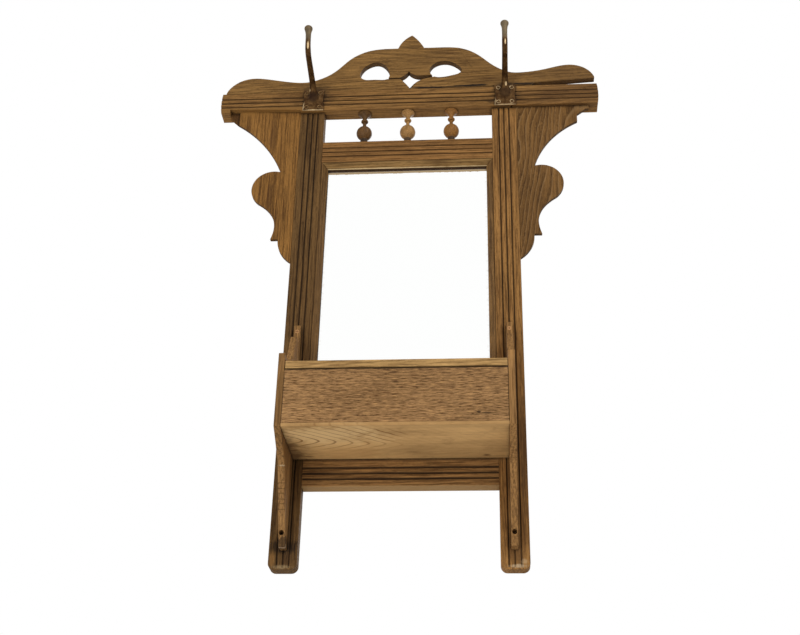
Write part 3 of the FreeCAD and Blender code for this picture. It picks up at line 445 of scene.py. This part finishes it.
# Mirror: silvered plate glass held behind the bead, with a little foxing near its rim. Along its top a strip
# is painted pale brown and not metallic: a painted reflection of the lip of the bead above it.
sight_half, sight_middle, sight_rise = 0.1228, -0.36535, 0.2397
foxing_reach = 0.005
lip_reflection_foot, lip_reflection_top = (-0.0072, -0.0066), (-0.0029, -0.0024)
silvering, glass = bare_material("silvered_glass")
spot = glass.node("TexCoord", output="Object")
from_side = sight_half - glass.node("SeparateXYZ", {}, {0: spot}, "X").math("ABSOLUTE")
above_middle = glass.node("SeparateXYZ", {}, {0: spot}, "Z") - sight_middle
from_end = sight_rise - above_middle.math("ABSOLUTE")
rim = ramp(from_side.math("MINIMUM", from_end), 0.0, foxing_reach, 1.0, 0.0)
specks = glass.node("TexNoise", {}, {"Vector": spot, "Scale": 140.0, "Detail": 4.0, "Roughness": 0.7})
blotch = ramp(specks, 0.45, 0.75)
below_top = above_middle - sight_rise
# Painted reflection: a pale brown strip along the top of the glass.
lip_reflection = ramp(below_top + (blotch - 0.5) * 0.0012, *lip_reflection_foot) * ramp(below_top, *lip_reflection_top, 1.0, 0.0)
haze = glass.node("TexNoise", {}, {"Vector": spot, "Scale": 9.0, "Detail": 3.0})
tarnish = (rim * blotch * 0.35).math("MAXIMUM", lip_reflection)
glass.node("OutputMaterial", {}, {"Surface": glass.node("BsdfPrincipled", {}, {
    "Base Color": blend(tarnish, (0.99, 0.995, 0.99, 1.0), paint(168, 144, 108)),
    "Metallic": 1.0 - lip_reflection, "Roughness": lip_reflection * 0.4 + haze * 0.03 + 0.005})})
plain("mirror_glass", silvering)

# Backboard: a thin rough pine sheet behind the glass, held in its rabbet by small steel pins. Neither
# shows from the front.
plain("mirror_backboard", oak("backboard_pine", "zxy", (152, 122, 84), 66, spacing=7.0, heart=(10.0, 40.0),
                              lean=0.06, pores=0.25, rings=0.6, wear_and_highlight=0.0, roughness=0.7))


def metal(name, bright, dull, seed, tarnish=0.7, roughness=0.38, shade_and_dirt=0.8, spots=()):
    """Old bare metal: dull where tarnished, bright on arrises as wear and a painted highlight, darker in
    corners as grime and painted shade. A spot is a place and its reach in mm, how strong it is, and its
    colour."""
    finish, start = bare_material(name)
    place = start.node("TexCoord", output="Object")
    point = start.node("VectorMath", {"operation": "ADD"}, {0: place, 1: (seed * 0.37, seed * 0.11, 0.0)})
    patch = start.node("TexNoise", {}, {"Vector": point, "Scale": 120.0, "Detail": 4.0, "Roughness": 0.6})
    grit = start.node("TexNoise", {}, {"Vector": point, "Scale": 2200.0, "Detail": 3.0, "Roughness": 0.6})
    corner = start.node("AmbientOcclusion", {"samples": 6}, {"Distance": 0.004}, "AO")
    grime_and_shade = ramp(corner, 0.3, 0.95, 1.0, 0.0)
    arris = start.node("AmbientOcclusion", {"samples": 6, "inside": True, "only_local": True},
                       {"Distance": 0.0012}, "AO")
    rubbed_and_highlit = ramp(arris, 0.3, 0.8, 1.0, 0.0)
    dull_share = ((patch - 0.5) * 0.7 + tarnish - rubbed_and_highlit * 0.7).math("MAXIMUM", 0.0).math("MINIMUM", 1.0)
    colour = blend(dull_share, paint(*bright), paint(*dull))
    colour = blend(grime_and_shade * shade_and_dirt, colour, paint(26, 19, 13))
    for middle, reach, strength, tint in spots:
        away = start.node("VectorMath", {"operation": "SUBTRACT"}, {0: place, 1: [c / 1000 for c in middle]})
        away = start.node("VectorMath", {"operation": "DIVIDE"}, {0: away, 1: [c / 1000 for c in reach]})
        away = start.node("VectorMath", {"operation": "LENGTH"}, {0: away}, "Value")
        colour = blend(ramp(away + (patch - 0.5) * 0.5, 0.6, 1.0, 1.0, 0.0) * strength, colour, paint(*tint))
    height = patch * 0.6 + grit * 0.3
    relief = start.node("Bump", {}, {"Strength": 0.35, "Distance": 0.0003, "Height": height}, "Normal")
    surface = start.node("BsdfPrincipled", {}, {
        "Base Color": colour, "Metallic": 0.9 - grime_and_shade * 0.5,
        "Roughness": dull_share * 0.22 + grit * 0.12 + grime_and_shade * 0.2 + (roughness - 0.06), "Normal": relief})
    start.node("OutputMaterial", {}, {"Surface": surface})
    return finish


steel = metal("old_steel", (140, 130, 116), (72, 56, 42), 4, tarnish=0.8, roughness=0.45)
plain("glazing_pins", steel)

# Spindles: three small turned birch balls with a trumpet-shaped head, pegged between the rails. The left
# one has kept more of its dark stain.
ball_foot = -69.0


def turned(name, tone, seed, ball_x):
    """Turned birch: fine upright fibres, faint rings from the tool, old stain, and painted shade with grime
    in the hollows and under the ball.
    """
    finish, start = bare_material(name)
    point = start.node("TexCoord", output="Object")
    point = start.node("VectorMath", {"operation": "SCALE"}, {0: point, "Scale": 1000.0})
    height = start.node("SeparateXYZ", {}, {0: point}, "Z")
    sideways = start.node("SeparateXYZ", {}, {0: point}, "X") - ball_x
    forward = start.node("SeparateXYZ", {}, {0: point}, "Y")
    spot = start.node("CombineXYZ", {}, {0: sideways / 1.1 + seed, 1: forward / 1.1, 2: height / 9.0})
    fibre = start.node("TexNoise", {}, {"Vector": spot, "Scale": 1.0, "Detail": 3.0, "Roughness": 0.6})
    stain = start.node("TexNoise", {}, {"Vector": point, "Scale": 0.11, "Detail": 3.0})
    tool = start.node("TexNoise", {"noise_dimensions": "1D"},
                      {"W": height * 1.6 + seed, "Scale": 1.0, "Detail": 2.0})
    corner = start.node("AmbientOcclusion", {"samples": 6}, {"Distance": 0.009}, "AO")
    grime_and_shade = ramp(corner, 0.2, 0.85, 1.0, 0.0)
    colour = blend(ramp(fibre, 0.3, 0.7), paint(*tone, 0.62), paint(*tone, 1.35))
    colour = blend(ramp(stain, 0.4, 0.7) * 0.5 + ramp(tool, 0.55, 0.75) * 0.25, colour, paint(*tone, 0.45))
    # Painted shade: the lowest few mm of the ball are painted dark.
    foot_shade = ramp(height, ball_foot - 3.5, ball_foot + 1.0, 1.0, 0.0)
    colour = blend(grime_and_shade.math("MAXIMUM", foot_shade) * 0.85, colour, paint(34, 24, 15))
    relief = start.node("Bump", {}, {"Strength": 0.4, "Distance": 0.0003,
                                     "Height": tool * 0.8 + fibre * 0.3}, "Normal")
    surface = start.node("BsdfPrincipled", {}, {
        "Base Color": colour, "Roughness": grime_and_shade * 0.2 + fibre * 0.15 + 0.45, "Specular IOR Level": 0.2,
        "Normal": relief})
    start.node("OutputMaterial", {}, {"Surface": surface})
    return finish


for name, tone, seed, ball_x in (("spindle_left", (98, 68, 34), 2.0, -68.6),
                                 ("spindle_centre", (162, 121, 70), 6.0, 0.0),
                                 ("spindle_right", (142, 97, 46), 9.0, 68.6)):
    plain(name, turned("birch_" + name, tone, seed, ball_x))

# Hat hooks: cast brass, gone brown. A waisted plate is screwed to the crest rail, and one round arm runs
# out from it, turns up and ends in a button. Each hook is cast in one piece, so its corners are soft.
plate_front, plate_width, plate_height, plate_thick, plate_waist = -0.028, 0.0335, 0.040, 0.0026, 0.0015
plate_cells, waisted_rows, waist_reach, near = 10, 3, 3.2, 0.0001
arm_rings = (  # out from the plate, height, radius, slope in degrees from level
    (-1.5, 0.8, 9.4, 0), (0.4, 1.6, 9.0, 3), (1.8, 3.6, 8.1, 10), (3.4, 6.6, 7.1, 19), (5.6, 10.2, 6.2, 27),
    (9.0, 14.0, 5.5, 32), (14.0, 17.4, 5.1, 29), (19.0, 19.8, 4.8, 22), (25.1, 21.6, 4.7, 13),
    (36.0, 23.7, 4.6, 11), (48.0, 26.0, 4.5, 11), (60.0, 28.3, 4.4, 11), (66.6, 29.7, 4.4, 14),
    (71.2, 31.7, 4.4, 31), (75.0, 34.8, 4.4, 48), (77.7, 38.8, 4.4, 65), (79.2, 43.6, 4.3, 83),
    (79.5, 50.0, 4.2, 90), (79.5, 58.0, 4.2, 90), (79.5, 66.0, 4.4, 90), (79.5, 71.0, 5.0, 90),
    (79.5, 74.4, 5.9, 90), (79.5, 76.6, 6.6, 90), (79.5, 78.6, 6.5, 90), (79.5, 80.5, 5.4, 90),
    (79.5, 81.6, 3.4, 90))
stem_base, stem_length, lean_height, arm_sides = 43.6, 38.0, 80.0, 20
cast_skin_size, softening, soft_rounds = 0.00055, 0.5, 5


def apply_modifier(piece, name, kind, **settings):
    made = piece.modifiers.new(name, kind)
    for key, value in settings.items():
        setattr(made, key, value)
    bpy.ops.object.modifier_apply(modifier=made.name)


def hook_casting(node, piece, hook_x, lean, shorter, finish):
    """One hook. Lean is how far the button stands to the side and shorter how much lower it is, in mm."""
    deselect()
    bpy.ops.mesh.primitive_cube_add(size=1.0, location=(hook_x, plate_front + plate_thick / 2, 0.0))
    plate = bpy.context.object
    plate.scale = (plate_width, plate_thick, plate_height)
    bpy.ops.object.transform_apply(location=True, rotation=True, scale=True)
    bpy.ops.object.mode_set(mode="EDIT")
    bpy.ops.mesh.subdivide(number_cuts=plate_cells - 1)
    bpy.ops.mesh.select_mode(type="VERT")
    for row in range(-waisted_rows, waisted_rows + 1):
        pull = plate_waist * (1 - (row / waist_reach) ** 2)
        height, width = row * plate_height / plate_cells, row * plate_width / plate_cells
        for sideways in (True, False):
            bpy.ops.mesh.select_all(action="DESELECT")
            bpy.ops.object.mode_set(mode="OBJECT")
            for dot in plate.data.vertices:
                if sideways:
                    dot.select = (abs(dot.co.z - height) < near
                                  and abs(dot.co.x - hook_x) > plate_width / 2 - near)
                else:
                    dot.select = (abs(dot.co.x - hook_x - width) < near
                                  and dot.co.z > plate_height / 2 - near)
            bpy.ops.object.mode_set(mode="EDIT")
            if sideways:
                bpy.ops.transform.resize(value=(1 - 2 * pull / plate_width, 1, 1),
                                         center_override=(hook_x, plate_front, height))
            else:
                bpy.ops.transform.translate(value=(0, 0, -pull))
    bpy.ops.object.mode_set(mode="OBJECT")
    out, height, radius, slope = arm_rings[0]
    centre = Vector((hook_x, plate_front - out / 1000, height / 1000))
    deselect()
    bpy.ops.mesh.primitive_circle_add(vertices=arm_sides, radius=radius / 1000, fill_type="NGON",
                                      location=centre, rotation=(math.radians(90 - slope), 0, 0))
    arm = bpy.context.object
    bpy.ops.object.transform_apply(location=True, rotation=True, scale=True)
    bpy.ops.object.mode_set(mode="EDIT")
    bpy.ops.mesh.select_all(action="SELECT")
    for next_out, next_height, next_radius, next_slope in arm_rings[1:]:
        next_height -= shorter * max(0.0, next_height - stem_base) / stem_length
        side = lean * (next_height / lean_height) ** 2 / 1000
        target = Vector((hook_x + side, plate_front - next_out / 1000, next_height / 1000))
        step = target - centre
        bpy.ops.mesh.extrude_region_move(TRANSFORM_OT_translate={"value": step})
        if next_slope != slope:
            bpy.ops.transform.rotate(value=math.radians(next_slope - slope), orient_axis="X",
                                     center_override=target)
        share = next_radius / radius
        bpy.ops.transform.resize(value=(share, share, share), center_override=target)
        centre, radius, slope = target, next_radius, next_slope
    bpy.ops.mesh.select_all(action="SELECT")
    bpy.ops.mesh.normals_make_consistent(inside=False)
    bpy.ops.object.mode_set(mode="OBJECT")
    deselect()
    plate.select_set(True)
    bpy.context.view_layer.objects.active = plate
    apply_modifier(plate, "cast_in_one", "BOOLEAN", operation="UNION", object=arm, solver="EXACT")
    bpy.data.objects.remove(arm)
    apply_modifier(plate, "cast_skin", "REMESH", mode="VOXEL", voxel_size=cast_skin_size,
                   use_smooth_shade=True)
    apply_modifier(plate, "soft_corners", "SMOOTH", factor=softening, iterations=soft_rounds)
    plate.name = piece
    dress(plate, finish)
    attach(plate, "cabinet")
    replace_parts(plate, node)


left_hook_x, right_hook_x = -150.5, 154.0
bright_brass, brown_brass = (206, 160, 100), (66, 42, 18)
highlight_brass, sheen_brass, dark_brass = (222, 196, 152), (128, 116, 92), (40, 25, 17)
low_rim_highlight, left_rim_highlight = ((0.0, -27.0, -22.5), (40.0, 5.0, 4.2)), ((-19.6, -28.0, -10.0), (5.8, 8.0, 22.0))
# Spots: a dark patina round the arm's foot, the plate's lower and left rims painted pale as wear and a
# painted highlight, painted glints on the arm's bend and foot, and a painted sheen on its upright part.
for name, hook_x, lean, shorter, seed, spots in (
    ("left", left_hook_x, -1.5, 0.0, 9, (
        ((0.0, -30.0, 3.0), (8.5, 14.0, 11.0), 0.75, dark_brass),
        (*low_rim_highlight, 1.0, highlight_brass),
        (*left_rim_highlight, 0.8, highlight_brass),
        ((0.0, -110.0, 41.5), (1.5, 4.0, 9.0), 0.95, highlight_brass),
        ((-1.5, -107.0, 70.0), (12.0, 12.0, 24.0), 0.5, sheen_brass),
        ((-5.2, -37.5, 12.5), (1.8, 4.0, 3.6), 0.9, highlight_brass))),
    ("right", right_hook_x, 0.5, 3.0, 12, (
        ((0.0, -30.0, 1.0), (9.0, 14.0, 9.0), 0.6, dark_brass),
        (*low_rim_highlight, 0.85, highlight_brass),
        (*left_rim_highlight, 0.45, highlight_brass),
        ((0.8, -110.0, 35.0), (1.5, 4.0, 7.5), 1.0, highlight_brass),
        ((0.5, -107.0, 66.0), (12.0, 12.0, 28.0), 0.65, sheen_brass),
        ((1.6, -41.0, 11.0), (1.9, 4.0, 4.2), 1.0, highlight_brass))),
):
    spots = [((hook_x + x, y, z), reach, strength, tint) for (x, y, z), reach, strength, tint in spots]
    hook_brass = metal(name + "_hook_brass", bright_brass, brown_brass, seed, tarnish=0.94, roughness=0.42,
                       spots=spots)
    hook_casting(name + "_hook", "hook_" + name + "_cast", hook_x / 1000, lean, shorter, hook_brass)

# Hook screws: four slotted brass screws in each plate, their round heads slightly proud of it. The left
# hook's have gone brown, the right hook's are still bright.
head_radius, head_sides, head_sunk = 0.0034, 24, 0.0006
head_steps = ((0.0008, 1.0), (0.0004, 0.9), (-0.0002, 0.86), (-0.0006, 0.9), (0.0, 0.5))  # rise and share
head_out_x, head_out_z = 0.0105, 0.0139
slot_place, slot_size = (0, -0.0019, 0), (0.009, 0.0018, 0.0009)
first_turn, screw_turn, hook_turn = 25, 47, 900  # degrees: the first slot, from screw to screw, by place


def screw_heads(piece, hook_x, finish):
    deselect()
    bpy.ops.mesh.primitive_circle_add(vertices=head_sides, radius=head_radius, fill_type="NGON",
                                      location=(0, 0, 0), rotation=(math.radians(90), 0, 0))
    head = bpy.context.object
    bpy.ops.object.transform_apply(location=True, rotation=True, scale=True)
    bpy.ops.object.mode_set(mode="EDIT")
    bpy.ops.mesh.select_all(action="SELECT")
    for rise, share in head_steps:
        bpy.ops.mesh.extrude_region_move(TRANSFORM_OT_translate={"value": (0, -rise, 0)})
        bpy.ops.transform.resize(value=(share, 1, share), center_override=(0, 0, 0))
    bpy.ops.mesh.select_all(action="SELECT")
    bpy.ops.mesh.normals_make_consistent(inside=False)
    bpy.ops.object.mode_set(mode="OBJECT")
    heads = []
    for number, (i, k) in enumerate(((-1, -1), (1, -1), (-1, 1), (1, 1))):
        copy = bpy.data.objects.new(piece + str(number), head.data.copy())
        bpy.context.scene.collection.objects.link(copy)
        deselect()
        bpy.ops.mesh.primitive_cube_add(size=1.0, location=slot_place)
        saw = bpy.context.object
        saw.scale = slot_size
        saw.rotation_euler = (0, math.radians(first_turn + screw_turn * number + hook_turn * hook_x), 0)
        deselect()
        copy.select_set(True)
        bpy.context.view_layer.objects.active = copy
        apply_modifier(copy, "slot", "BOOLEAN", operation="DIFFERENCE", object=saw, solver="EXACT")
        bpy.data.objects.remove(saw)
        middle = (hook_x + i * head_out_x, plate_front + head_sunk, k * head_out_z)
        copy.data.transform(Matrix.Translation(middle))
        heads.append(copy)
    bpy.data.objects.remove(head)
    deselect()
    for copy in heads:
        copy.select_set(True)
    bpy.context.view_layer.objects.active = heads[0]
    bpy.ops.object.join()
    made = bpy.context.object
    made.name = piece
    bpy.ops.object.shade_smooth_by_angle(angle=smooth_angle)
    dress(made, finish)
    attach(made, "cabinet")
    return made


screw_brass = metal("screw_brass", (190, 164, 124), (104, 82, 54), 14, tarnish=0.55, roughness=0.35)
brown_screws = metal("brown_screw_brass", (150, 118, 74), (72, 50, 28), 15, tarnish=0.8, roughness=0.4)
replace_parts(screw_heads("hook_left_screw_heads", left_hook_x / 1000, brown_screws), "left_hook_screws")
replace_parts(screw_heads("hook_right_screw_heads", right_hook_x / 1000, screw_brass), "right_hook_screws")

# Comb box: two fret-sawn oak side boards screwed to the stiles, with a coarse-grained front board, a pale
# unfinished bottom and a back board nailed between them. Saw nicks run down the left side's tail.
side_edge, box_edge = 0.0009, 0.0006
tail_slope, tail_edge = -0.46, -376.6
nicks = [(height, tail_slope * height + tail_edge, 0.9, 3.6, 0.75, (78, 50, 26))
         for height in (-667.0, -673.5, -679.0, -686.0, -691.5, -698.0)]
side_cuts = [("z", place) for place in (-725.05, -610.95, -593.2, -570.15, -547.1, -420.15)]
board("box_side_left", "box_side_left_oak", side_edge,
      oak("oak_box_side_left", "zyx", (132, 98, 58), 71, spacing=4.5, heart=(-60.0, -220.0), lean=0.03,
          pores=0.3, fibres=0.7,
          marks=((-735.0, -33.0, 12.0, 14.0, 0.7, soot_and_shade),
                 (-741.0, -31.0, 5.0, 3.0, 0.55, (190, 160, 130)),
                 (-646.0, -78.0, 1.8, 2.6, 0.8, (220, 200, 165)),
                 (-570.0, -131.0, 70.0, 7.0, 0.6, (98, 70, 38)),
                 *nicks)),
      cuts=side_cuts)
board("box_side_right", "box_side_right_oak", side_edge,
      oak("oak_box_side_right", "zyx", (140, 104, 62), 75, spacing=4.5, heart=(-80.0, 210.0), lean=-0.02,
          pores=0.3, fibres=0.7),
      cuts=side_cuts)
board("box_front", "box_front_oak", box_edge,
      oak("oak_box_front", "xzy", (148, 113, 74), 79, spacing=3.0, heart=(-700.0, 30.0), lean=0.006,
          pores=1.3, rings=0.12, fibres=0.9, streaks=0.6, strands=1.15, strand=(12.0, 0.85), figure=12.0,
          shade_and_dirt=0.7,
          # The first mark is a painted shadow: a dark line in the gap under the lid's front edge.
          marks=((0.0, -531.9, 500.0, 1.5, 0.9, soot_and_shade),
                 (-146.4, -570.0, 1.3, 90.0, 0.7, soot_and_shade),
                 (146.4, -570.0, 1.3, 90.0, 0.7, soot_and_shade),
                 (120.0, -598.0, 16.0, 1.0, 0.8, soot_and_shade),
                 (108.0, -596.0, 3.0, 2.0, 0.8, soot_and_shade))))
board("box_back", "box_back_oak", box_edge,
      oak("oak_box_back", "xzy", (120, 88, 54), 83, heart=(-560.0, 40.0), lean=0.03))
board("box_bottom", "box_bottom_pale", box_edge,
      oak("pale_bottom", "xyz", (188, 150, 99), 87, spacing=11.0, heart=(-66.0, -620.0), lean=0.5, pores=0.08,
          rings=0.025, fibres=0.35, streaks=0.35, strands=0.12, figure=22.0, heart_slope=0.15,
          arches=(-78.0, -88.0, 105.0, 52.0, 1.0, (112, 72, 36)), shade_and_dirt=0.6, wear_and_highlight=0.1,
          # The first mark is painted light over the front left. The fourth is a painted shadow of the left
          # side over the rear left corner.
          marks=((-92.0, -100.0, 90.0, 40.0, 0.75, (222, 186, 132)),
                 (-70.0, -40.0, 70.0, 22.0, 0.3, (168, 120, 68)),
                 (117.0, -29.0, 9.0, 4.0, 0.9, (58, 36, 20)),
                 (-152.0, -42.0, 34.0, 60.0, 0.85, (92, 62, 34)),
                 (0.0, -130.6, 500.0, 2.0, 0.5, (160, 122, 76)))))

# Box lid: a plain oak board between the two sides, which lifts on two hinges at its rear edge. Its sawn
# front edge is still pale.
lid_edge = 0.0008
board("box_lid", "box_lid_oak", lid_edge,
      oak("oak_box_lid", "xyz", (178, 142, 91), 91, spacing=4.0, heart=(-80.0, -480.0), lean=0.05, pores=0.4,
          rings=0.2, strands=0.4, shade_and_dirt=0.6),
      body="lid")

# Lid hinges: pressed brass leaves folded round a steel pin, one on the box's back and one on the lid,
# with small countersunk screws.
hinge_finish = metal("hinge_brass", (170, 134, 76), (92, 68, 38), 19, tarnish=0.7, roughness=0.38)
for name in ("hinge_fixed_leaves", "hinge_lid_leaves", "hinge_fixed_screws", "hinge_lid_screws"):
    plain(name, hinge_finish)
plain("hinge_pins", steel)

# Screws and nails of the box, and the hanger plates let into the back of the stiles: plain steel, with a
# bloom of pale rust on the screws that hold the box's sides.
rusty_screws = metal("rusty_screws", (176, 132, 88), (112, 76, 46), 23, tarnish=0.6, roughness=0.5, shade_and_dirt=0.15)
plain("side_screws", rusty_screws)
for name in ("box_nails", "hanger_plates", "hanger_screws"):
    plain(name, steel)
